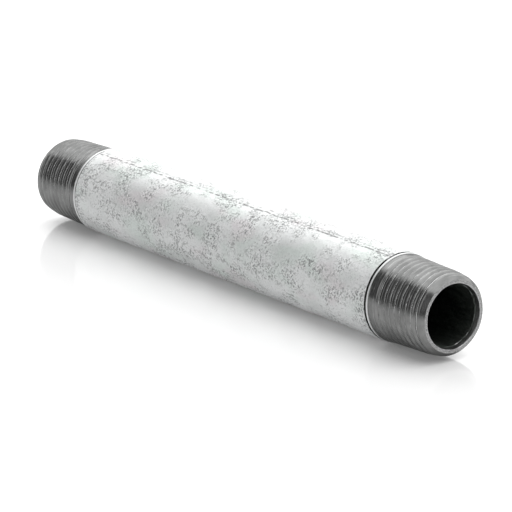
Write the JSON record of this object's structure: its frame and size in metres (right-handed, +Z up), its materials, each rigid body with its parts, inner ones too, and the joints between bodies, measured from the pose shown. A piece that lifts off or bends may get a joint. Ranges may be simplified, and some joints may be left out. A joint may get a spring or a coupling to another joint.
{
  "type": "threaded pipe nipple",
  "caption": "Long straight steel pipe nipple: a galvanised barrel open right through, with a right-hand male taper thread on each end.",
  "frame": {"origin": "middle of the pipe, on its axis, half-way between the two end faces", "axes": "X along the pipe's axis, with one end face at +X and the other at -X; +Z up with the pipe lying level"},
  "size_m": [0.1524, 0.0214, 0.0214],
  "materials": {
    "bare_steel": "cut threads and faced ends, oiled",
    "zinc": "hot-dip galvanised, semi-bright, mottled",
    "bore_zinc": "hot-dip galvanised, dull"
  },
  "bodies": {
    "root": {"steel_pipe": "bare_steel", "outer_zinc_coat": "zinc", "bore_zinc_lining": "bore_zinc"}
  },
  "joints": []
}
